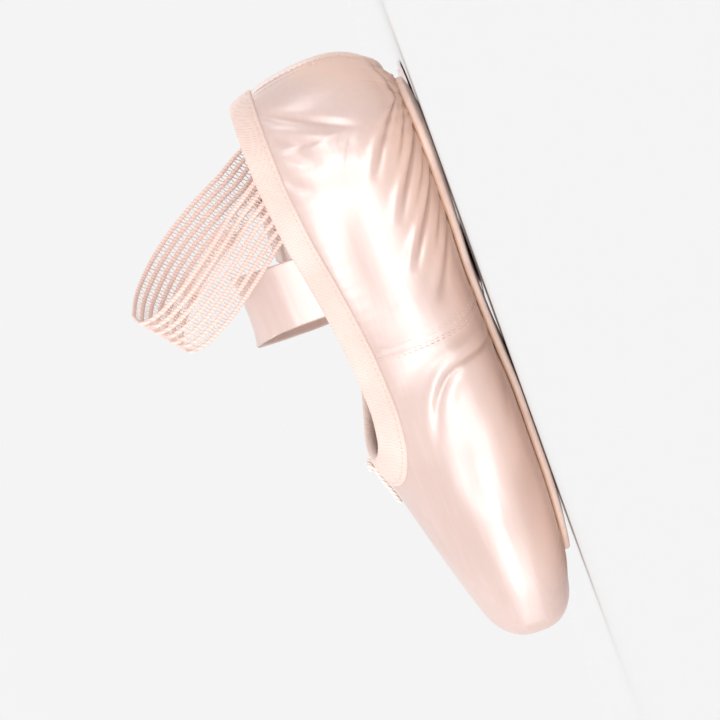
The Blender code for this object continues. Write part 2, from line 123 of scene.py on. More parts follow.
def table(rows, column, at, loose=False):
    """A column's smooth values at places along the first one; it never swings unless loose."""
    x = np.array([row[0] for row in rows], float)
    y = np.array([row[column] for row in rows], float)
    step = np.diff(x)
    rise = np.diff(y) / step
    slope = np.zeros(len(x))
    slope[0], slope[-1] = rise[0], rise[-1]
    same = rise[:-1] * rise[1:] > 0
    total = rise[:-1] + rise[1:]
    slope[1:-1][same] = 2 * rise[:-1][same] * rise[1:][same] / total[same]
    if loose:
        slope[1:-1] = (rise[:-1] * step[1:] + rise[1:] * step[:-1]) / (step[1:] + step[:-1])
    at = np.clip(np.asarray(at, float), x[0], x[-1])
    k = np.clip(np.searchsorted(x, at) - 1, 0, len(x) - 2)
    t = (at - x[k]) / step[k]
    near = (1 + 2 * t) * (1 - t) ** 2 * y[k] + t * t * (3 - 2 * t) * y[k + 1]
    return near + step[k] * (t * (1 - t) ** 2 * slope[k] - t * t * (1 - t) * slope[k + 1])


def run_of(points):
    """How far along a line each of its points is."""
    steps = np.linalg.norm(np.diff(points, axis=0), axis=1)
    return np.concatenate([[0], np.cumsum(steps)])


def at_run(along, values, at):
    return np.stack([np.interp(at, along, values[:, c]) for c in range(values.shape[1])], axis=-1)


def unit(ways):
    return ways / np.linalg.norm(ways, axis=1)[:, None]


def squared(points, across):
    """Side and upward ways of a line, square to it, from rough sides."""
    ahead = unit(np.gradient(points, axis=0))
    side = unit(across - ahead * (across * ahead).sum(1)[:, None])
    return side, np.cross(ahead, side)


def line_through(rows, sizes, count, loose=False):
    """Evenly spread points on a smooth line through rows."""
    rows = np.array(rows, float) * sizes
    along = run_of(rows)
    at = np.linspace(0, along[-1], count)
    numbered = np.column_stack([along, rows])
    return np.column_stack([table(numbered, c + 1, at, loose) for c in range(rows.shape[1])])


def section(s):
    """Half width, widest height, top, bottom and powers at an array of stations."""
    s = np.asarray(s, float)
    half, widest, top, lift, high, low = (table(LAST, c, s / LENGTH) for c in range(1, 7))
    half, widest, top = half * BALL_WIDTH, widest * HEEL_HEIGHT, top * HEEL_HEIGHT
    bottom = SOLE_THICK + lift * HEEL_HEIGHT
    away = np.clip((HEEL_ROUND - s) / HEEL_ROUND, 0, 1)

    def fall(power):
        return (1 - away**power) ** (1 / power)

    half = half * fall(HEEL_PLAN_POWER)
    top = widest + (top - widest) * fall(HEEL_TOP_POWER)
    bottom = widest - (widest - bottom) * fall(HEEL_BOTTOM_POWER)
    away = np.clip((s - LENGTH + TOE_ROUND) / TOE_ROUND, 0, 1)
    drop = TOE_DROP * (1 - np.sqrt(1 - away * away))
    return half - drop, widest, top - drop, bottom + drop, high, low


def at_height(s, z):
    """Half width, distance from the widest line, and the height and power of that side of it."""
    half, widest, top, bottom, high, low = section(s)
    up = z > widest
    tall = np.where(up, top - widest, widest - bottom)
    return half, np.abs(z - widest), tall, np.where(up, high, low)


def wall_y(s, z):
    """How far out the last's side is at a station and height."""
    half, off, tall, power = at_height(s, z)
    return half * (1 - np.clip(off / np.maximum(tall, 1e-6), 0, 1) ** power) ** (1 / power)


def height_at(s, y, under=False):
    """Height of the last's top or underside at a station and distance out."""
    half, widest, top, bottom, high, low = section(s)
    edge, power = (bottom, low) if under else (top, high)
    share = (1 - np.clip(np.abs(y) / half, 0, 1) ** power) ** (1 / power)
    return widest + (edge - widest) * share


def metres(points):
    """Points in metres in the shared frame, from stations and millimetres."""
    out = np.array(points, float)
    out[..., 0] -= LENGTH / 2
    return out * MM


# Ribbons and drawstring: the routes that the CAD solids follow


def ribbon_route(over_shoe, on_floor):
    over = np.array(over_shoe) * (LENGTH, BALL_WIDTH, HEEL_HEIGHT)
    down = over[-1]
    rest = RIBBON_THICK / 2 + GAP / 2
    floor = [(down[0] + x, down[1] + y, rest) for x, y in on_floor]
    route = np.vstack([over, floor])
    length = np.linalg.norm(np.diff(route, axis=0), axis=1).sum()
    points = line_through(route, (1, 1, 1), 2 * round(length / 8.0), loose=True)
    points[:, 2] = np.maximum(points[:, 2], rest)
    return points


# Objects and meshes


def deselect():
    bpy.ops.object.select_all(action="DESELECT")


def pick(obj):
    deselect()
    obj.select_set(True)
    bpy.context.view_layer.objects.active = obj


def add_object(name, data):
    obj = bpy.data.objects.new(name, data)
    bpy.context.scene.collection.objects.link(obj)
    return obj


def finish_piece(obj, solid):
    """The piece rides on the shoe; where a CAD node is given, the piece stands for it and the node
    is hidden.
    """
    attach(obj, "root")
    if solid:
        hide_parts(solid)
    return obj


def move(mesh, points):
    mesh.vertices.foreach_set("co", metres(points).astype(np.float32).reshape(-1))


def sheet_of(name, points, drop=None, **values):
    """A grid laid out to an array of points in millimetres; coinciding points are merged.
    Each named value is kept on the points as an attribute."""
    rows, columns = points.shape[:2]
    deselect()
    bpy.ops.mesh.primitive_grid_add(
        x_subdivisions=columns - 1, y_subdivisions=rows - 1, size=0.1, location=(0, 0, 0)
    )
    obj = bpy.context.active_object
    obj.name = obj.data.name = name
    mesh = obj.data
    move(mesh, points)
    for label, value in values.items():
        layer = mesh.attributes.new(label, "FLOAT", "POINT")
        layer.data.foreach_set("value", value.reshape(-1).astype(np.float32))
    picked = np.zeros(len(mesh.polygons), bool)
    if drop is not None:
        picked[drop] = True
    mesh.vertices.foreach_set("select", np.zeros(len(mesh.vertices), bool))
    mesh.edges.foreach_set("select", np.zeros(len(mesh.edges), bool))
    mesh.polygons.foreach_set("select", picked)
    bpy.context.tool_settings.mesh_select_mode = (False, False, True)
    bpy.ops.object.mode_set(mode="EDIT")
    if drop is not None:
        bpy.ops.mesh.delete(type="ONLY_FACE")
    bpy.ops.mesh.select_all(action="SELECT")
    bpy.ops.mesh.remove_doubles(threshold=0.000002)
    bpy.ops.mesh.normals_make_consistent(inside=False)
    bpy.ops.mesh.select_all(action="DESELECT")
    bpy.ops.object.mode_set(mode="OBJECT")
    mesh.shade_smooth()
    return obj


def read(mesh, label):
    """The points, their normals or one of their attributes, as an array."""
    known = {"co": (mesh.vertices, "co", 3), "normal": (mesh.vertex_normals, "vector", 3)}
    source, field, size = known.get(label) or (mesh.attributes[label].data, "value", 1)
    out = np.empty(len(source) * size, np.float32)
    source.foreach_get(field, out)
    out = out.astype(float)
    if label == "co":
        out = out / MM
        out[::3] += LENGTH / 2
    return out.reshape(-1, size) if size > 1 else out


def joined(name, pieces):
    pick(pieces[0])
    for piece in pieces:
        piece.select_set(True)
    bpy.ops.object.join()
    pieces[0].name = pieces[0].data.name = name
    return pieces[0]


def copies_of(name, model, places):
    """Copies of one modelled piece, each with its own mesh and place, joined; the model goes."""
    made = []
    for place in places:
        mesh = model.data.copy()
        mesh.transform(place)
        made.append(add_object(name, mesh))
    bpy.data.objects.remove(model)
    return joined(name, made)


def frame_at(point, ahead, up):
    """A place in metres whose x runs ahead and z points up, from millimetres."""
    ahead = Vector(ahead).normalized()
    side = Vector(up).cross(ahead).normalized()
    turn = Matrix((ahead, side, ahead.cross(side))).transposed().to_4x4()
    return Matrix.Translation(Vector(metres(np.array([point]))[0])) @ turn


def apply(obj, kind, **settings):
    pick(obj)
    modifier = obj.modifiers.new(kind.lower(), kind)
    for name, value in settings.items():
        setattr(modifier, name, value)
    bpy.ops.object.modifier_apply(modifier=modifier.name)


def make_ribbon(name, solid, over_shoe, on_floor, seed):
    """Satin tie: a flat weave with two firm selvedges and slight ripples across it."""
    route = ribbon_route(over_shoe, on_floor)
    along = run_of(route)
    points = at_run(along, route, np.linspace(0, along[-1], RIBBON_ROWS))
    along = run_of(points)
    flat = np.gradient(points, axis=0)[:, [1, 0, 2]] * (-1, 1, 0)
    flat /= np.linalg.norm(flat, axis=1)[:, None] + 1e-9
    level = np.clip((points[:, 2:] - RIBBON_THICK) / (RIBBON_SETTLES * HEEL_HEIGHT), 0, 1)
    across = flat * (1 - level) + np.array([[1.0, 0, 0]]) * level
    side, up = squared(points, across)
    share = np.linspace(-0.5, 0.5, RIBBON_COLUMNS)
    selvedge = SELVEDGE_HIGH * np.exp(-(((np.abs(share) - 0.5) / 0.03) ** 2))
    random = np.random.default_rng(seed)
    wave = np.zeros((len(points), len(share)))
    for _ in range(RIPPLES):
        turn, long = random.uniform(-1.2, 1.2), random.uniform(16, 46)
        turned = 2 * np.pi * (along[:, None] + turn * share * RIBBON_WIDTH) / long
        wave += RIPPLE_HIGH * np.sin(turned + random.uniform(0, 6.3))
    free = blend(along, *SEWN_DOWN)[:, None]
    lifted = selvedge[None, :] + wave * free + 0.10
    grid = points[:, None] + side[:, None] * (share * RIBBON_WIDTH)[None, :, None]
    grid = grid + up[:, None] * lifted[..., None]
    grid[..., 2] = np.maximum(grid[..., 2], RIBBON_THICK + 0.05)
    obj = sheet_of(name, grid)
    apply(obj, "SOLIDIFY", thickness=0.0003, offset=-1.0 if up[:, 2].sum() > 0 else 1.0)
    obj.data.shade_smooth()
    finish_piece(obj, solid)
    return obj


def aim_camera():
    """The photo's angle: from the left side and a little behind, rolled so the toe points down."""
    turned, rolled = math.radians(CAMERA_TURNED), math.radians(CAMERA_ROLLED)
    away = Vector((-math.sin(turned), math.cos(turned), 0))
    up = Vector((0, 0, 1))
    aim = Vector((-0.002, 0.0, 0.050))
    place = aim + away * CAMERA_AWAY
    place.z = CAMERA_HIGH
    back = (place - aim).normalized()
    up = (up - back * up.dot(back)).normalized()
    right = up.cross(back).normalized()
    new_right = right * math.cos(rolled) - up * math.sin(rolled)
    new_up = right * math.sin(rolled) + up * math.cos(rolled)
    data = bpy.data.cameras.new("camera")
    data.lens = CAMERA_LENS
    data.sensor_width = 36
    camera = add_object("camera", data)
    turn = Matrix((new_right, new_up, back)).transposed()
    camera.matrix_world = Matrix.Translation(place) @ turn.to_4x4()
    bpy.context.scene.camera = camera


# The skin of the upper: a grid on the last, with its folds laid one by one


def topline_height(s):
    """Height of the topline at a station, far above the shoe ahead of the throat."""
    rows = [(x * LENGTH, z * HEEL_HEIGHT) for x, z in TOPLINE]
    return np.where(s > rows[-1][0], 200.0, table(rows, 1, s))


def sole_half(s):
    """Half width of the outsole at a station, and zero past its ends."""
    rows = [(x * LENGTH, y * SOLE_WIDTH) for x, y in OUTSOLE]
    inside = (s > rows[0][0]) & (s < rows[-1][0])
    return np.where(inside, table(rows, 1, s), 0.0)


def form(s, y, z):
    """Below zero inside the last and above zero outside it."""
    half, off, tall, power = at_height(np.clip(s, 0.02, LENGTH), z)
    return (np.abs(y) / half) ** power + (off / tall) ** power - 1


def outward(s, y, z):
    """Unit normals of the last at points on it."""
    h = 0.05
    slopes = [
        form(s + h, y, z) - form(s - h, y, z),
        form(s, y + h, z) - form(s, y - h, z),
        form(s, y, z + h) - form(s, y, z - h),
    ]
    normal = np.stack(slopes, axis=-1)
    return normal / (np.linalg.norm(normal, axis=-1)[..., None] + 1e-12)


def half_skin(stations, columns):
    """Left half of the outer surface, from the sole's opening up to the topline or the ridge.
    Gives the points and how far each is from the edge of the sole, measured along the skin."""
    angle = np.radians(np.linspace(-90, 90, 361))[None, :]
    half, widest, top, bottom, high, low = (v[:, None] for v in section(stations))
    c, s = np.cos(angle), np.sin(angle)
    power = np.where(s > 0, high, low)
    reach = 1 / (np.abs(c) ** power + np.abs(s) ** power) ** (1 / power)
    y = half * reach * np.clip(c, 0, 1)
    z = widest + np.where(s > 0, top - widest, widest - bottom) * reach * s
    steps = np.hypot(np.diff(y, axis=1), np.diff(z, axis=1))
    along = np.concatenate([np.zeros((len(stations), 1)), np.cumsum(steps, axis=1)], axis=1)
    points = np.zeros((len(stations), columns, 3))
    girth = np.zeros((len(stations), columns))
    rim = topline_height(stations)
    edge = sole_half(stations)
    for i in range(len(stations)):
        below = z[i] < widest[i, 0]
        lower_half = y[i][below], along[i][below]
        start = np.interp(max(edge[i] - TURNED_IN, 0), *lower_half)
        sole = np.interp(edge[i], *lower_half)
        stop = np.interp(rim[i], z[i][~below], along[i][~below])
        at = np.linspace(start, stop, columns)
        points[i, :, 0] = stations[i]
        points[i, :, 1] = np.interp(at, along[i], y[i])
        points[i, :, 2] = np.interp(at, along[i], z[i])
        girth[i] = at - sole
    return points, girth


def skin_stations(step):
    """Stations of the skin's rows: close together at both rounded ends and at the throat."""
    heel = HEEL_ROUND * (1 - np.cos(np.radians(np.linspace(2, 90, int(60 / step)))))
    body = np.arange(HEEL_ROUND + step, LENGTH - TOE_ROUND, step)
    toe = LENGTH - TOE_ROUND * (1 - np.sin(np.radians(np.linspace(0, 90, int(16 / step)))))
    throat = np.arange(143.0, 151.5, step / 3)
    both = np.unique(np.round(np.concatenate([heel, body, toe, throat]), 3))
    rounded = (both[1:] < 2.0) | (both[1:] > LENGTH - TOE_ROUND)
    keep = np.concatenate([[True], np.diff(both) > np.where(rounded, 0.004, step / 5)])
    return both[keep]


def near_line(points, line):
    """Distance to the closest point of a line, and which one it is."""
    away = np.empty(len(points))
    which = np.empty(len(points), int)
    for k in range(0, len(points), 20000):
        part = points[k : k + 20000, None, :] - line[None, :, :]
        size = np.einsum("ijk,ijk->ij", part, part)
        which[k : k + 20000] = size.argmin(1)
        away[k : k + 20000] = np.sqrt(size.min(1))
    return away, which


def blend(value, low, high):
    """Zero at low and one at high, with soft ends."""
    t = np.clip((value - low) / (high - low), 0, 1)
    return t * t * (3 - 2 * t)


def crease(s, g, line, width, depth, lip=0.6):
    """A soft trough along a line of (station, distance up from the sole), with one raised lip.
    The third number of each row is the trough's strength there."""
    rows = line_through(line, (1, 1, 1), 5 * len(line), loose=True)
    best = np.full(s.shape, 1e9)
    signed = np.zeros(s.shape)
    force = np.zeros(s.shape)
    for (s0, g0, f0), (s1, g1, f1) in zip(rows, rows[1:]):
        ds, dg = s1 - s0, g1 - g0
        size = math.hypot(ds, dg)
        t = np.clip(((s - s0) * ds + (g - g0) * dg) / size**2, 0, 1)
        off_s, off_g = s - s0 - t * ds, g - g0 - t * dg
        away = np.hypot(off_s, off_g)
        nearer = away < best
        best = np.where(nearer, away, best)
        cross = np.sign(ds * off_g - dg * off_s)
        signed = np.where(nearer, away * cross, signed)
        force = np.where(nearer, f0 + (f1 - f0) * t, force)
    trough = -np.exp(-((signed / width) ** 2))
    raised = lip * np.exp(-(((signed - 1.9 * width) / (1.2 * width)) ** 2))
    raised += 0.35 * lip * np.exp(-(((signed + 2.0 * width) / (1.3 * width)) ** 2))
    return depth * force * (trough + raised)


# Folds of each side: width, depth and lip, then rows of station, distance up from the sole and
# strength. Stations and distances are in millimetres on the shoe. In order: the creases by the
# sole, those at the back of the heel, broad swells, the wing's crease and the box's swells.
FOLDS = (
    (1.5, 0.82, 0.8, ((9, 2, 0.9), (17, 10, 1.0), (27, 18, 0.8), (37, 24, 0.0))),
    (1.1, 0.66, 0.8, ((20, 0, 0.8), (26, 7, 1.0), (32, 12, 0.6), (36, 15, 0.0))),
    (1.5, 0.95, 0.8, ((29, 0, 0.8), (34, 6, 1.0), (44, 15, 0.9), (55, 22, 0.0))),
    (1.0, 0.62, 0.8, ((37, 0, 0.9), (42, 5, 1.0), (48, 11, 0.5), (52, 14, 0.0))),
    (1.4, 0.95, 0.8, ((45, 0, 0.8), (51, 7, 1.0), (62, 17, 0.9), (73, 25, 0.0))),
    (1.1, 0.70, 0.8, ((55, 0, 0.8), (59, 5, 1.0), (65, 11, 0.6), (69, 14, 0.0))),
    (1.6, 0.72, 0.7, ((64, 0, 0.6), (70, 8, 1.0), (79, 16, 0.6), (88, 22, 0.0))),
    (2.6, 0.50, 0.5, ((6, 52, 0.6), (11, 42, 1.0), (17, 32, 0.6), (20, 26, 0.0))),
    (2.2, 0.40, 0.5, ((14, 56, 0.6), (20, 46, 1.0), (25, 38, 0.0))),
    (2.0, 0.34, 0.5, ((24, 58, 0.6), (29, 50, 1.0), (33, 43, 0.0))),
    (7.0, 0.60, 0.4, ((34, 34, 0.5), (52, 40, 1.0), (74, 42, 0.8), (88, 40, 0.0))),
    (6.0, 0.45, 0.4, ((70, 24, 0.0), (82, 20, 1.0), (94, 24, 0.4), (99, 30, 0.0))),
    (1.7, 0.60, 0.8, ((111, 1, 0.5), (110, 12, 0.9), (110, 22, 1.0), (113, 30, 1.0),
                      (120, 36, 0.7), (130, 40, 0.3), (138, 42, 0.0))),
    (5.5, 0.55, 0.4, ((103, 8, 0.2), (104, 22, 1.0), (107, 36, 0.8), (116, 46, 0.4),
                      (126, 52, 0.0))),
    (3.0, 0.32, 0.4, ((118, 0, 0.6), (126, 8, 1.0), (136, 14, 0.6), (148, 17, 0.0))),
    (5.0, 0.40, 0.3, ((128, 30, 0.0), (140, 33, 0.8), (156, 33, 1.0), (172, 30, 0.0))),
    (8.0, 0.50, 0.3, ((140, 12, 0.0), (160, 16, 1.0), (186, 18, 0.6), (204, 18, 0.0))),
)
SIDE_SEAM = ((-2.0, 96.0), (20.0, 96.5), (42.0, 98.0), (70.0, 99.5))


def seam_station(g):
    """Station of the side seam at a distance up from the sole."""
    return table(SIDE_SEAM, 1, g)


def outline_points(count):
    """The outsole's outline in plan, all round, from the heel past the left side and the toe."""
    x, y = line_through(OUTSOLE, (LENGTH, SOLE_WIDTH), count).T
    left = np.stack([x, y], axis=1)
    right = np.stack([x[1:-1], -y[1:-1]], axis=1)[::-1]
    return np.vstack([left, right])


def gathers(around, seed, finest, widest):
    """Height of irregular pleats with sharp valleys, and a number for each that varies them."""
    random = np.random.default_rng(seed)
    edges = np.concatenate([[0.0], np.cumsum(random.uniform(finest, widest, PLEATS))])
    which = np.searchsorted(edges, around) - 1
    share = (around - edges[which]) / (edges[which + 1] - edges[which])
    return np.abs(np.sin(np.pi * share)) ** 0.75, random.uniform(0.45, 1.0, PLEATS + 2)[which]


def seam(off, band, groove):
    """A groove between two low raised bands."""
    raised = band[0] * np.exp(-((np.abs(off) / band[1]) ** 6))
    return raised - groove[0] * np.exp(-((off / groove[1]) ** 2))


def relief(points, side, g):
    """How far the satin stands off the last at each point, in millimetres."""
    s, y, z = points.T
    total = np.zeros(len(points))
    for number, (width, depth, lip, line) in enumerate(FOLDS):
        moved = [(a + 2.3 * math.sin(5.1 * number), b, f) for a, b, f in line]
        left = crease(s, g, line, width, depth, lip)
        right = crease(s, g, moved, width * 1.1, depth * 0.85, lip)
        total += np.where(side > 0, left, right)
    total += seam(s - seam_station(g), SIDE_BAND, SIDE_GROOVE)
    total += np.where(s < 40, 1.0, 0.0) * seam(y, BACK_BAND, BACK_GROOVE)
    # Gathers round the sole: radiating at the toe and heel, faint along the waist.
    outline = outline_points(260)
    plan = np.stack([s, y], axis=1)
    away, which = near_line(plan, outline)
    ahead = unit(np.roll(outline, -1, axis=0) - np.roll(outline, 1, axis=0))
    around = run_of(outline)[which] + ((plan - outline[which]) * ahead[which]).sum(1)
    around = np.clip(around, 0.1, 480)
    climb = np.where(s > OUTSOLE[-1][0] * LENGTH - 2, 0.2, 0.6) * g
    far = np.where((g > 0) | (np.abs(y) > sole_half(s)), np.maximum(away, climb), -away)
    lower = blend(z, 34, 22)
    pleat, vary = gathers(around, 11, *PLEAT_PITCH)
    fine, vary_fine = gathers(around + 1.3, 23, *FINE_PITCH)
    at_toe, at_heel = blend(s, 186, 208), blend(s, 34, 16)
    reach = PLEAT_REACH[0] + PLEAT_REACH[1] * vary
    fade = blend(far, reach, 1.0) * blend(far, -3.0, 0.8)
    strength = TOE_PLEATS * at_toe + HEEL_PLEATS * at_heel + WAIST_PLEATS
    total += lower * strength * fade * (pleat - 0.55)
    fade = blend(far, 7.0, 0.5) * blend(far, -3, 0.5)
    total += lower * FINE_PLEATS * (at_toe + 0.8 * at_heel) * fade * (fine * vary_fine - 0.4)
    # The satin is drawn in where it turns under the sole.
    return total - DRAWN_IN * blend(far, 5.0, 0.2)


def hush_rim(points, total):
    """The folds die out under the binding, which lies flat on the skin."""
    line = rim_line(0.0, 300)[0]
    both = np.vstack([line, line * (1, -1, 1)])
    away, _ = near_line(points, both)
    pucker, vary = gathers(np.clip(points[:, 0] + 40, 0.1, 470), 5, 3.2, 6.0)
    total = total * blend(away, 7.5, 12.0)
    return total + 0.16 * (pucker - 0.5) * vary * blend(away, 18.0, 9.0) * blend(away, 6.5, 8.5)


def rim_line(shift, count):
    """A line on the skin at a distance below the topline, from the heel to the throat, with its
    outward normals."""
    x, z = line_through(TOPLINE, (LENGTH, HEEL_HEIGHT), 900).T
    dx, dz = np.gradient(x), np.gradient(z)
    size = np.hypot(dx, dz)
    x, z = x + shift * dz / size, z - shift * dx / size
    top = section(np.clip(x, 0.01, LENGTH))[2]
    inside = (z < top - 0.002) & (x > 0.05)
    first, last = np.flatnonzero(inside)[[0, -1]]
    points = [(x[k], float(wall_y(x[k], z[k])), z[k]) for k in range(first, last + 1)]
    ends = []
    for k, n in ((first, first - 1), (last, last + 1)):
        a, b = top[k] - z[k], top[n] - z[n]
        t = a / (a - b)
        ends.append((x[k] + t * (x[n] - x[k]), 0.0, z[k] + t * (z[n] - z[k])))
    line = np.array([ends[0]] + points + [ends[1]])
    along = run_of(line)
    line = at_run(along, line, np.linspace(0, along[-1], count))
    return line, outward(line[:, 0], line[:, 1], line[:, 2])


def wall(s):
    """Thickness of the upper at a station."""
    thick = (QUARTER_WALL, QUARTER_WALL, BOX_WALL, BOX_WALL, TIP_WALL)
    return table(list(zip((0.0, 0.52, 0.87, 0.96, 1.0), thick)), 1, s / LENGTH)


def skin_piece(name, step, columns, folded):
    """The whole skin as one grid: rows run along the shoe, columns from the left edge of the
    sole over the top to the right one. The faces that would close the throat are deleted."""
    stations = skin_stations(step)
    left, girth = half_skin(stations, columns)
    both = np.concatenate([left, (left * (1, -1, 1))[:, ::-1]], axis=1)
    up = np.concatenate([girth, girth[:, ::-1]], axis=1)
    pole = np.zeros_like(both[:1])
    pole[..., 2] = float(section(np.array([0.001]))[1][0])
    centre = both[-1:].mean(1, keepdims=True)
    shares = np.linspace(1, 0, TOE_RINGS)[1:]
    toe = [centre + (both[-1:] - centre) * share for share in shares]
    points = np.concatenate([pole, both] + toe)
    toe_up = [30 + (up[-1:] - 30) * share for share in shares]
    up = np.concatenate([np.full_like(up[:1], 30.0), up] + toe_up)
    sides = np.sign(np.arange(2 * columns)[None, :] - columns + 0.5) * -np.ones((len(points), 1))
    open_rows = np.flatnonzero(left[:, -1, 1] > 0.01) + 1
    rows = np.arange(open_rows[0] - 1, open_rows[-1] + 1)
    drop = rows * (2 * columns - 1) + columns - 1
    obj = sheet_of(name, points, drop, up_from_sole=up, side=sides, relief=np.zeros_like(up))
    mesh = obj.data
    places, normals = read(mesh, "co"), read(mesh, "normal")
    g, side = read(mesh, "up_from_sole"), read(mesh, "side")
    if ((places - np.array([LENGTH / 2, 0, 25.0])) * normals).sum() < 0:
        mesh.flip_normals()
        normals = -normals
    if folded:
        depth = hush_rim(places, relief(places, side, g))
    else:
        depth = -wall(places[:, 0])
    places = places + normals * depth[:, None]
    move(mesh, places)
    mesh.attributes["relief"].data.foreach_set("value", depth.astype(np.float32))
    if not folded:
        mesh.flip_normals()
    mesh.update()
    return finish_piece(obj, "upper")


# Binding, stitches, elastic, drawstring and sole

BINDING_PROFILE = (
    (8.3, -0.15), (8.25, 0.45), (7.9, 0.80), (7.3, 0.72), (6.9, 0.62),
    (6.5, 0.74), (5.8, 0.96), (4.2, 1.12), (2.4, 1.16), (0.9, 1.08),
    (-0.2, 0.78), (-0.8, 0.15), (-1.0, -0.9), (-0.8, -1.95), (-0.2, -2.55),
    (0.9, -2.80), (4.0, -2.88), (7.6, -2.80), (8.1, -2.10),
)


def make_binding():
    """The casing folded over the topline, slightly gathered along its drawstring."""
    rows, under = [], []
    for shift, off in BINDING_PROFILE:
        line, normal = rim_line(shift, BINDING_COUNT)
        pucker, vary = gathers(np.linspace(1, 430, BINDING_COUNT), 31, 2.6, 5.0)
        swell = 0.16 * (pucker - 0.6) * vary * (0.4 + 0.6 * blend(line[:, 0], 100, 140))
        grown = line + normal * (off + swell * (off > 0.5))[:, None]
        rows.append(np.vstack([grown, (grown * (1, -1, 1))[::-1]]))
        under.append(np.full(2 * BINDING_COUNT, shift))
    grid = np.stack(rows + rows[:1])
    grid = np.concatenate([grid, grid[:, :1]], axis=1)
    shift = np.stack(under + under[:1])
    shift = np.concatenate([shift, shift[:, :1]], axis=1)
    obj = sheet_of("binding_casing", grid, below_rim=shift)
    return finish_piece(obj, "binding")


def one_stitch(long, thick):
    """A short thread with both ends drawn down, along x."""
    deselect()
    bpy.ops.mesh.primitive_uv_sphere_add(segments=6, ring_count=5, radius=MM, location=(0, 0, 0))
    stitch = bpy.context.active_object
    stitch.data.transform(Matrix.Rotation(math.pi / 2, 4, "Y"))
    bpy.ops.object.mode_set(mode="EDIT")
    bpy.ops.mesh.select_all(action="SELECT")
    bpy.ops.transform.resize(value=(long / 2, thick, thick))
    bpy.ops.object.mode_set(mode="OBJECT")
    for vertex in stitch.data.vertices:
        vertex.co.z -= 0.55 * thick * MM * (2 * vertex.co.x / (long * MM)) ** 2
    stitch.data.shade_smooth()
    return stitch


def sew(name, lines, pitch, long, thick):
    """Stitches along lines of points with their normals."""
    places = []
    for points, normals in lines:
        along = run_of(points)
        for at in np.arange(pitch, along[-1] - pitch, pitch):
            here, there = at_run(along, points, at), at_run(along, points, at + 0.2)
            places.append(frame_at(here, there - here, at_run(along, normals, at)))
    obj = copies_of(name, one_stitch(long, thick), places)
    return finish_piece(obj, None)


def both_sides(points, normals):
    return [(points * (1, side, 1), normals * (1, side, 1)) for side in (1, -1)]


def seam_lines():
    """Rows of stitches beside the two side seams, on the skin."""
    lines = []
    fine, girth = half_skin(np.arange(90.0, 106.0, 0.5), 120)
    for sign in (1, -1):
        for beside in (-2.3, -1.2, 1.2, 2.3):
            points = []
            for g in np.linspace(1.0, 62.0, 60):
                s = float(seam_station(g)) + beside
                row = int(np.clip(round((s - 90.0) / 0.5), 0, len(fine) - 1))
                if g > girth[row, -1] - 7.5:
                    break
                z = float(np.interp(g, girth[row], fine[row, :, 2]))
                points.append((s, z))
            s, z = np.array(points).T
            points = np.stack([s, wall_y(s, z), z], axis=1)
            normal = outward(*points.T)
            lines.append(((points + normal * 0.30) * (1, sign, 1), normal * (1, sign, 1)))
    return lines


def back_seam_lines():
    """Rows of stitches on both sides of the seam down the heel."""
    z = np.linspace(9.0, 51.0, 60)
    s = back_station(BACK_STITCHES, z)
    points = np.stack([s, BACK_STITCHES + 0 * z, z], axis=1)
    normal = outward(*points.T)
    return both_sides(points + normal * 0.24, normal)


def back_station(y, z):
    """Stations of the heel's back surface at a distance out and an array of heights."""
    low, high = 0.02 + 0 * z, 30.0 + 0 * z
    for _ in range(40):
        mid = (low + high) / 2
        outside = form(mid, y, z) > 0
        low, high = np.where(outside, mid, low), np.where(outside, high, mid)
    return high


def elastic_path(count):
    """Middle line of the strap from quarter to quarter, with its side and upward ways."""
    lean = math.radians(ELASTIC_LEAN)
    start = ELASTIC_START * HEEL_HEIGHT
    slope = (ELASTIC_RISE - start) / math.sin(lean)
    reach = np.array([math.sin(lean), 0, -math.cos(lean)]) * ELASTIC_WIDTH / 2

    def quarter_y(s, z):
        z = min(z, HEEL_HEIGHT)
        s, z = np.array(s), np.array(z)
        out = wall_y(s, z)
        along, up = wall_y(s + 1, z) - out, wall_y(s, z + 1) - out
        layers = QUARTER_WALL + GAP + BINDING_THICK + STRAP_EASE + ELASTIC_THICK / 2
        return float(out - layers * math.sqrt(1 + along**2 + up**2))

    rows = []
    for share in (0.00, 0.08, 0.16, 0.24, 0.32):
        x = ELASTIC_STATION * LENGTH + share * slope * math.cos(lean)
        z = start + share * slope * math.sin(lean)
        rear = quarter_y(x - reach[0], z - reach[2])
        front = quarter_y(x + reach[0], z + reach[2])
        rows.append((share * slope, (rear + front) / 2, front - rear))
    arch = ((0.44, 0.256), (0.56, 0.286), (0.68, 0.298), (0.80, 0.276),
            (0.90, 0.216), (0.97, 0.122), (1.0, 0.0))
    rows += [(share * slope, out * BALL_WIDTH, 0.0) for share, out in arch]
    half = line_through(rows, (1, 1, 1), count)
    both = np.vstack([half, half[:-1][::-1] * (1, -1, -1)])
    x = ELASTIC_STATION * LENGTH + both[:, 0] * math.cos(lean)
    middle = np.stack([x, both[:, 1], start + both[:, 0] * math.sin(lean)], axis=1)
    return middle, *squared(middle, 2 * reach + both[:, 2:] * (0, 1, 0))


def tube(name, points, across, up, wide, tall, sides):
    """A closed bar of oval section along points."""
    turn = np.linspace(0, 2 * math.pi, sides + 1)
    ring = np.cos(turn)[None, :, None] * across[:, None] * wide
    ring = ring + np.sin(turn)[None, :, None] * up[:, None] * tall
    body = points[:, None] + ring
    first = np.repeat(points[:1, None], sides + 1, axis=1)
    last = np.repeat(points[-1:, None], sides + 1, axis=1)
    return sheet_of(name, np.concatenate([first, body, last]))


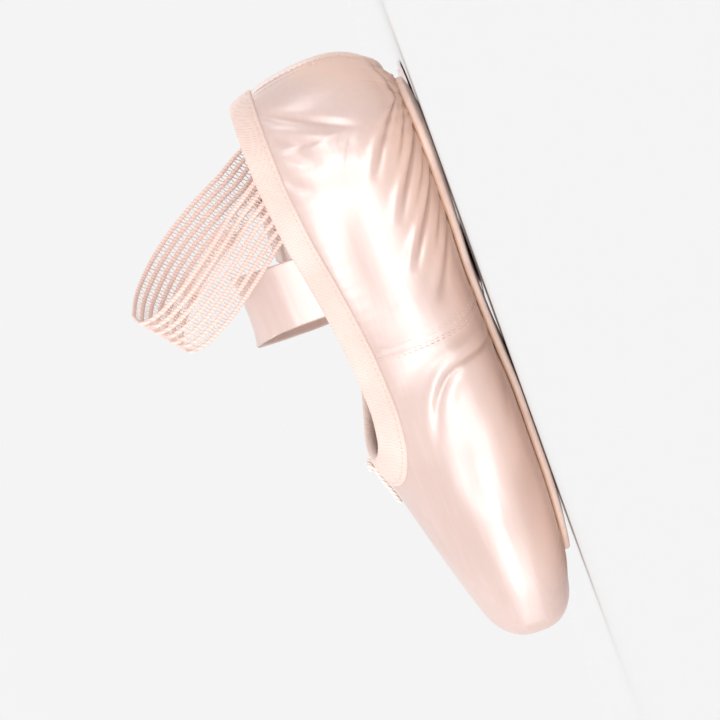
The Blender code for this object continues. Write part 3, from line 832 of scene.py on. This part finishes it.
def make_elastic():
    """Seven ribs and the fine net between them."""
    middle, side, up = elastic_path(90)
    room = ELASTIC_WIDTH - 1.9
    ribs = []
    for share in np.linspace(-0.5, 0.5, RIB_COUNT):
        rib = middle + side * share * room
        ribs.append(tube("rib", rib, side, up, RIB_WIDE, RIB_TALL, 8))
    zig = np.linspace(-0.5, 0.5, RIB_COUNT) * (ELASTIC_WIDTH - 1.6)
    lean = np.where(np.arange(RIB_COUNT) % 2, 0.42, -0.42)
    route = np.stack([lean + LENGTH / 2, zig, 0 * zig], axis=1)
    x_way, z_way = np.tile([1.0, 0, 0], (RIB_COUNT, 1)), np.tile([0, 0, 1.0], (RIB_COUNT, 1))
    thread = tube("net", route, x_way, z_way, 0.20, 0.16, 4)
    along = run_of(middle)
    places = []
    for number, at in enumerate(np.arange(0.6, along[-1] - 0.6, NET_PITCH)):
        s_way, u_way = at_run(along, side, at), at_run(along, up, at)
        ahead = np.cross(s_way, u_way) * (1 if number % 2 else -1)
        places.append(frame_at(at_run(along, middle, at), ahead, u_way))
    net = copies_of("net", thread, places)
    obj = joined("elastic_mesh", [net] + ribs)
    return finish_piece(obj, "elastic")


def cord_of(name, points, radius, closed):
    """A round cord along points in metres, made from a curve and kept as a mesh."""
    curve = bpy.data.curves.new(name, "CURVE")
    curve.dimensions = "3D"
    curve.bevel_depth = radius * MM
    curve.bevel_resolution = 3
    curve.use_fill_caps = not closed
    spline = curve.splines.new("POLY")
    spline.points.add(len(points) - 1)
    spline.use_cyclic_u = closed
    for point, place in zip(spline.points, points):
        point.co = (*place, 1)
    pick(add_object(name, curve))
    bpy.ops.object.convert(target="MESH")
    obj = bpy.context.active_object
    obj.data.shade_smooth()
    return obj


def make_drawstring():
    """The knot at the throat and the two short ends that settle on the box."""
    at = KNOT_STATION * LENGTH
    over = 2 * GAP + BINDING_THICK
    ends = []
    for side in (1, -1):
        rows = [
            (at + a, side * o, float(height_at(at + a, o)) + over + STRING_RADIUS)
            for a, o in STRING_END
        ]
        ends.append([(x, y, z - down) for (x, y, z), down in zip(rows, STRING_SETTLES)])
    route = ends[0][::-1] + ends[1][1:]
    points = metres(line_through(route, (1, 1, 1), 40, loose=True))
    cord = cord_of("drawstring_cord", points, STRING_RADIUS, False)
    # An overhand knot: three crossing turns round the cord.
    turns = []
    for a in np.linspace(0, 2 * math.pi, 72, endpoint=False):
        r = 1.35 + 0.55 * math.cos(3 * a)
        turns.append((r * math.cos(2 * a), 1.15 * r * math.sin(2 * a), 0.62 * math.sin(3 * a)))
    knot_z = float(height_at(at, 0.0)) + over + KNOT_RADIUS * KNOT_FLAT
    turns = np.array(turns) * (0.85, 0.95, 0.9) + (at, 0, knot_z)
    knot = cord_of("drawstring_knot", metres(turns), 0.92 * STRING_RADIUS, True)
    finish_piece(cord, "drawstring")
    finish_piece(knot, None)
    return cord, knot


def make_outsole():
    """Leather with a rounded, burnished edge and rows of small slits pressed in at the ball."""
    heel, toe = OUTSOLE[0][0] * LENGTH, OUTSOLE[-1][0] * LENGTH
    turn = np.linspace(0, math.pi, 14)
    rounds = heel + 5 * (1 - np.cos(turn / 2)), toe - 5 * (1 - np.sin(turn / 2))
    s = np.unique(np.concatenate([rounds[0], np.arange(heel + 5.5, toe - 5, 0.5), rounds[1]]))
    wide = sole_half(np.clip(s, heel + 1e-6, toe - 1e-6))
    wide[[0, -1]] = 0
    share = np.linspace(-1, 1, 101)
    flat = np.sign(share) * np.abs(share) ** 0.94 * wide[:, None]
    height = height_at(s[:, None], flat, under=True)
    low = np.maximum(height - GAP - SOLE_THICK, 0.0)
    high = np.maximum(height - 0.12, low + 0.4)
    inset = wide[:, None] - np.abs(flat)
    round_off = np.clip(1 - inset / 0.9, 0, 1)
    eased = 1 - np.sqrt(np.clip(1 - round_off**2, 0, 1))
    low, high = low + 0.75 * eased, high - 0.20 * eased
    row = np.floor(flat / SLIT_ROW)
    step = s[:, None] / SLIT_STEP + 0.5 * (row % 2)
    in_row = (flat / SLIT_ROW - row - 0.5) * SLIT_ROW
    in_step = (step - np.floor(step) - 0.5) * SLIT_STEP
    slit = np.clip(1.25 - (in_row / 0.42) ** 2 - (in_step / 1.05) ** 4, 0, 1)
    ball = blend(s, 138, 142) * blend(s, 204, 200)
    slit = slit * ball[:, None] * blend(inset, 2.6, 3.6)
    low = low + SLIT_DEEP * slit
    place = np.repeat(s[:, None], len(share), axis=1)
    below = np.stack([place, flat, low], axis=-1)
    above = np.stack([place, flat, high], axis=-1)[:, ::-1]
    grid = np.concatenate([below, above, below[:, :1]], axis=1)
    mark = np.concatenate([slit, 0 * slit, slit[:, :1]], axis=1)
    worn = np.clip(1 - inset / 1.2, 0, 1)
    rim = np.concatenate([0.35 * worn, worn[:, ::-1], 0.35 * worn[:, :1]], axis=1)
    obj = sheet_of("outsole_leather", grid, slit=mark, rim=rim)
    return finish_piece(obj, "outsole")


def make_insole():
    """The sock: the CAD form with its edges eased."""
    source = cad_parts["insole"]
    obj = add_object("insole_sock", source.data.copy())
    pick(obj)
    bpy.ops.object.mode_set(mode="EDIT")
    bpy.ops.mesh.select_all(action="SELECT")
    bpy.ops.mesh.remove_doubles(threshold=0.00002)
    bpy.ops.object.mode_set(mode="OBJECT")
    apply(obj, "REMESH", mode="VOXEL", voxel_size=0.0007)
    apply(obj, "SMOOTH", factor=0.5, iterations=6)
    obj.data.shade_smooth()
    return finish_piece(obj, "insole")


# Finishes


def new_material(name, piece):
    """A material of its own for a piece, in place of what it had."""
    made = bpy.data.materials.new(name)
    made.use_nodes = True
    piece.data.materials.clear()
    piece.data.materials.append(made)
    return made


def fill(mat, made, sockets):
    """Link a node's inputs or set their values, by input name or number."""
    for key, value in sockets.items():
        if isinstance(value, bpy.types.NodeSocket):
            mat.node_tree.links.new(value, made.inputs[key])
        else:
            made.inputs[key].default_value = value


def node(mat, kind, out=0, sockets=None, **settings):
    """Add a shader node; sockets holds values or links by input name or number."""
    made = mat.node_tree.nodes.new("ShaderNode" + kind)
    for name, value in settings.items():
        setattr(made, name, value)
    fill(mat, made, sockets or {})
    return made.outputs[out]


def mixed(mat, share, first, second):
    rgb = [(*v, 1) if isinstance(v, tuple) else v for v in (first, second)]
    return node(mat, "Mix", 2, {0: share, 6: rgb[0], 7: rgb[1]}, data_type="RGBA")


def ranged(mat, value, low, high, to_low=0.0, to_high=1.0):
    sockets = {0: value, 1: low, 2: high, 3: to_low, 4: to_high}
    return node(mat, "MapRange", 0, sockets, interpolation_type="SMOOTHSTEP")


def maths(mat, kind, first, second):
    return node(mat, "Math", 0, {0: first, 1: second}, operation=kind)


def place_of(mat, scale=(1, 1, 1)):
    return node(mat, "Mapping", 0, {0: node(mat, "TexCoord", 3), "Scale": scale})


def noise(mat, where, scale, detail=3.0, rough=0.5, twist=0.0):
    sockets = {"Vector": where, "Scale": scale, "Detail": detail, "Roughness": rough,
               "Distortion": twist}
    return node(mat, "TexNoise", 0, sockets)


def bands(mat, where, period, way, twist=0.0):
    """A sine pattern of bands a period apart, in the coordinates' own unit."""
    sockets = {"Vector": where, "Scale": math.pi / (10 * period), "Distortion": twist}
    return node(mat, "TexWave", 1, sockets, bands_direction=way)


def finish(mat, colour, rough, height, deep, **others):
    """Set a material's main shader, with a relief of a depth in metres."""
    bump = node(mat, "Bump", 0, {"Strength": 1.0, "Distance": deep, "Height": height})
    sockets = {"Base Color": colour, "Roughness": rough, "Normal": bump}
    sockets.update({name.replace("_", " "): value for name, value in others.items()})
    fill(mat, mat.node_tree.nodes["Principled BSDF"], sockets)


SATIN_LIGHT, SATIN_SHADE = (0.605, 0.430, 0.384), (0.555, 0.380, 0.333)
SATIN_STREAK, SATIN_LOW_PAINTED_LIGHT = (0.70, 0.545, 0.495), (0.77, 0.490, 0.375)
SATIN_CREASE_SHADE, SATIN_EDGE = (0.41, 0.23, 0.175), (0.64, 0.39, 0.28)
SATIN_ROUGH = 0.31
STRING_DARK, STRING_PALE = (0.74, 0.64, 0.56), (0.93, 0.87, 0.80)
FLOOR_GREY, BACKDROP, OVERHEAD = 0.741, 0.905, 1.06


def satin_finish(piece, name, folds=False):
    """Peach satin with faint streaks; where it has folds, painted light lightens and warms it by
    the sole, painted shade darkens and warms its creases, and it turns tan at the sole's edge.
    """
    mat = new_material(name, piece)
    here = place_of(mat)
    cloud = noise(mat, here, 22.0, 4.0)
    colour = mixed(mat, ranged(mat, cloud, 0.35, 0.68), SATIN_SHADE, SATIN_LIGHT)
    streaks = noise(mat, place_of(mat, (45.0, 520.0, 520.0)), 1.0, 2.0, 0.5)
    colour = mixed(mat, ranged(mat, streaks, 0.40, 0.75, 0.0, 0.16), colour, SATIN_STREAK)
    if folds:
        low = node(mat, "Attribute", 2, attribute_name="up_from_sole")
        # Painted light: within 30 mm of the sole the satin is lightened and warmed, standing in
        # for the light lost to the floor's shade there.
        low_painted_light = ranged(mat, low, 30.0, 5.0, 0.0, 0.75)
        colour = mixed(mat, low_painted_light, colour, SATIN_LOW_PAINTED_LIGHT)
        # Painted shade: where the creases sink below the last, the satin darkens towards a deep
        # brown, the deeper the darker.
        sunk = node(mat, "Attribute", 2, attribute_name="relief")
        deep = ranged(mat, sunk, -0.05, -0.75, 0.0, 0.74)
        colour = mixed(mat, deep, colour, SATIN_CREASE_SHADE)
        colour = mixed(mat, ranged(mat, low, 4.0, 0.0, 0.0, 0.30), colour, SATIN_EDGE)
    weave = bands(mat, here, 0.00035, "DIAGONAL")
    height = maths(mat, "ADD", maths(mat, "MULTIPLY", weave, 0.03), streaks)
    finish(mat, colour, SATIN_ROUGH, height, 0.00004, IOR=2.4,
           Sheen_Weight=0.12, Sheen_Roughness=0.35, Sheen_Tint=(1.0, 0.93, 0.90, 1.0))


def cloth_finish(piece, name, dark, light, thread, deep):
    """Plain woven cotton or canvas with slubs."""
    mat = new_material(name, piece)
    here = place_of(mat)
    slub = noise(mat, place_of(mat, (120.0, 900.0, 900.0)), 1.0, 4.0, 0.65)
    cloud = noise(mat, here, 35.0, 3.0)
    warp = bands(mat, here, thread, "X")
    weft = bands(mat, here, thread, "DIAGONAL")
    weave = maths(mat, "MAXIMUM", warp, weft)
    colour = mixed(mat, ranged(mat, cloud, 0.35, 0.7), dark, light)
    shade = tuple(0.80 * v for v in dark)
    colour = mixed(mat, ranged(mat, weave, 0.55, 0.15, 0.0, 0.55), colour, shade)
    colour = mixed(mat, ranged(mat, slub, 0.45, 0.75, 0.0, 0.35), colour, light)
    height = maths(mat, "ADD", weave, maths(mat, "MULTIPLY", slub, 0.8))
    finish(mat, colour, ranged(mat, cloud, 0.3, 0.7, 0.78, 0.92), height, deep,
           Sheen_Weight=0.2, Sheen_Roughness=0.5)


def leather_finish(piece):
    """Suede split: mottled, darker in the pressed slits, burnished tan along the cut edge."""
    mat = new_material("sole_leather", piece)
    here = place_of(mat)
    cloud = noise(mat, here, 45.0, 5.0, 0.6)
    nap = noise(mat, here, 1400.0, 2.0)
    colour = mixed(mat, ranged(mat, cloud, 0.3, 0.7), (0.76, 0.56, 0.48), (0.86, 0.69, 0.61))
    smudge = noise(mat, place_of(mat, (14.0, 34.0, 34.0)), 1.0, 4.0, 0.7, 1.0)
    colour = mixed(mat, ranged(mat, smudge, 0.56, 0.74, 0.0, 0.45), colour, (0.60, 0.40, 0.33))
    edge = node(mat, "Attribute", 2, attribute_name="rim")
    worn = ranged(mat, cloud, 0.2, 0.55, 0.55, 0.95)
    worn = maths(mat, "MULTIPLY", ranged(mat, edge, 0.60, 0.98), worn)
    colour = mixed(mat, worn, colour, (0.70, 0.405, 0.255))
    slit = node(mat, "Attribute", 2, attribute_name="slit")
    colour = mixed(mat, ranged(mat, slit, 0.1, 0.8, 0.0, 0.92), colour, (0.27, 0.13, 0.10))
    rough = ranged(mat, edge, 0.2, 0.9, 0.88, 0.5)
    finish(mat, colour, rough, maths(mat, "ADD", nap, cloud), 0.00015,
           Sheen_Weight=0.25, Sheen_Roughness=0.5)


def thread_finish(piece, name, dark, light, period, deep):
    """Twisted thread or cord: fine slanted bands with a few loose fibres."""
    mat = new_material(name, piece)
    here = place_of(mat)
    twist = bands(mat, here, period, "DIAGONAL", 0.8)
    fibre = noise(mat, here, 2600.0, 2.0)
    colour = mixed(mat, ranged(mat, twist, 0.1, 0.7), dark, light)
    colour = mixed(mat, ranged(mat, fibre, 0.35, 0.7, 0.0, 0.3), colour, light)
    height = maths(mat, "ADD", twist, maths(mat, "MULTIPLY", fibre, 0.5))
    finish(mat, colour, ranged(mat, fibre, 0.2, 0.8, 0.55, 0.8), height, deep,
           Sheen_Weight=0.2)


aim_camera()
ribbon_right = make_ribbon("ribbon_right_satin", "ribbon_right", RIGHT_RIBBON, RIGHT_FLOOR, 3)
ribbon_left = make_ribbon("ribbon_left_satin", "ribbon_left", LEFT_RIBBON, LEFT_FLOOR, 4)
cord, knot = make_drawstring()
satin = skin_piece("upper_satin", SKIN_STEP, SKIN_COLUMNS, True)
lining = skin_piece("upper_lining", LINING_STEP, LINING_COLUMNS, False)
casing = make_binding()
line, normal = rim_line(STITCH_LINE, 500)
edges = both_sides(line + normal * STITCH_LIFT, normal)
binding_stitches = sew("binding_stitches", edges, pitch=2.3, long=1.6, thick=0.17)
seams = seam_lines() + back_seam_lines()
seam_stitches = sew("seam_stitches", seams, pitch=2.1, long=1.45, thick=0.14)
elastic = make_elastic()
outsole = make_outsole()
insole = make_insole()

satin_finish(satin, "satin_upper", folds=True)
satin_finish(ribbon_left, "satin_ribbon_left")
satin_finish(ribbon_right, "satin_ribbon_right")
# Each of these has its dark and light colours, the pitch of its threads in metres and its relief.
for piece, name, dark, light, thread, deep in (
    (lining, "canvas_lining", (0.84, 0.74, 0.65), (0.92, 0.85, 0.77), 0.0007, 0.00010),
    (insole, "sock_cloth", (0.74, 0.62, 0.53), (0.86, 0.77, 0.69), 0.0006, 0.00012),
    (casing, "binding_cotton", (0.745, 0.560, 0.500), (0.825, 0.650, 0.590), 0.0007, 0.00005),
):
    cloth_finish(piece, name, dark, light, thread, deep)
leather_finish(outsole)
for piece, name, dark, light, thread, deep in (
    (elastic, "elastic_yarn", (0.72, 0.49, 0.43), (0.87, 0.66, 0.59), 0.0009, 0.00010),
    (cord, "cotton_cord", STRING_DARK, STRING_PALE, 0.0010, 0.00016),
    (knot, "cotton_knot", STRING_DARK, STRING_PALE, 0.0010, 0.00016),
    (binding_stitches, "binding_thread", (0.66, 0.43, 0.34), (0.84, 0.62, 0.53), 0.0004, 0.00005),
    (seam_stitches, "seam_thread", (0.72, 0.50, 0.42), (0.88, 0.70, 0.62), 0.0004, 0.00005),
):
    thread_finish(piece, name, dark, light, thread, deep)


# Floor, light and world

deselect()
bpy.ops.mesh.primitive_plane_add(size=400, location=(0, 0, 0))
floor = bpy.context.active_object
floor.name = "floor"
floor_paint = new_material("floor_paint", floor)
grey = (FLOOR_GREY, FLOOR_GREY, FLOOR_GREY, 1)
matte = {"Base Color": grey, "Roughness": 1.0, "Specular IOR Level": 0.0}
fill(floor_paint, floor_paint.node_tree.nodes["Principled BSDF"], matte)


def sun(name, way, strength, spread):
    """A sun that shines from a direction; its spread, in degrees, softens its shadows."""
    light = bpy.data.lights.new(name, "SUN")
    light.energy = strength
    light.angle = math.radians(spread)
    made = add_object(name, light)
    made.rotation_euler = Vector(way).to_track_quat("Z", "Y").to_euler()


# A long soft box on the shoe's left side, as two rows of suns, then three weaker suns for the
# heel, the top and the far side.
for name, turned, strength in KEY_COLUMNS:
    x, y = math.sin(math.radians(turned)), math.cos(math.radians(turned))
    for row, rise, share, spread in KEY_ROWS:
        sun(row + name, (x, y, rise), share * strength, spread)
sun("heel", (-0.92, 0.30, 0.25), 0.25, 20)
sun("top", (0.10, -0.20, 0.95), 0.20, 60)
sun("rear", (-0.20, -0.90, 0.35), 0.40, 40)

world = bpy.data.worlds.new("studio")
bpy.context.scene.world = world
world.use_nodes = True
height = node(world, "SeparateXYZ", 2, {0: node(world, "TexCoord")})
overhead = ranged(world, height, 0.08, 0.85, BACKDROP, OVERHEAD)
sky = {"Color": (1, 1, 1, 1), "Strength": overhead}
fill(world, world.node_tree.nodes["Background"], sky)
bpy.context.scene.view_settings.view_transform = "Standard"
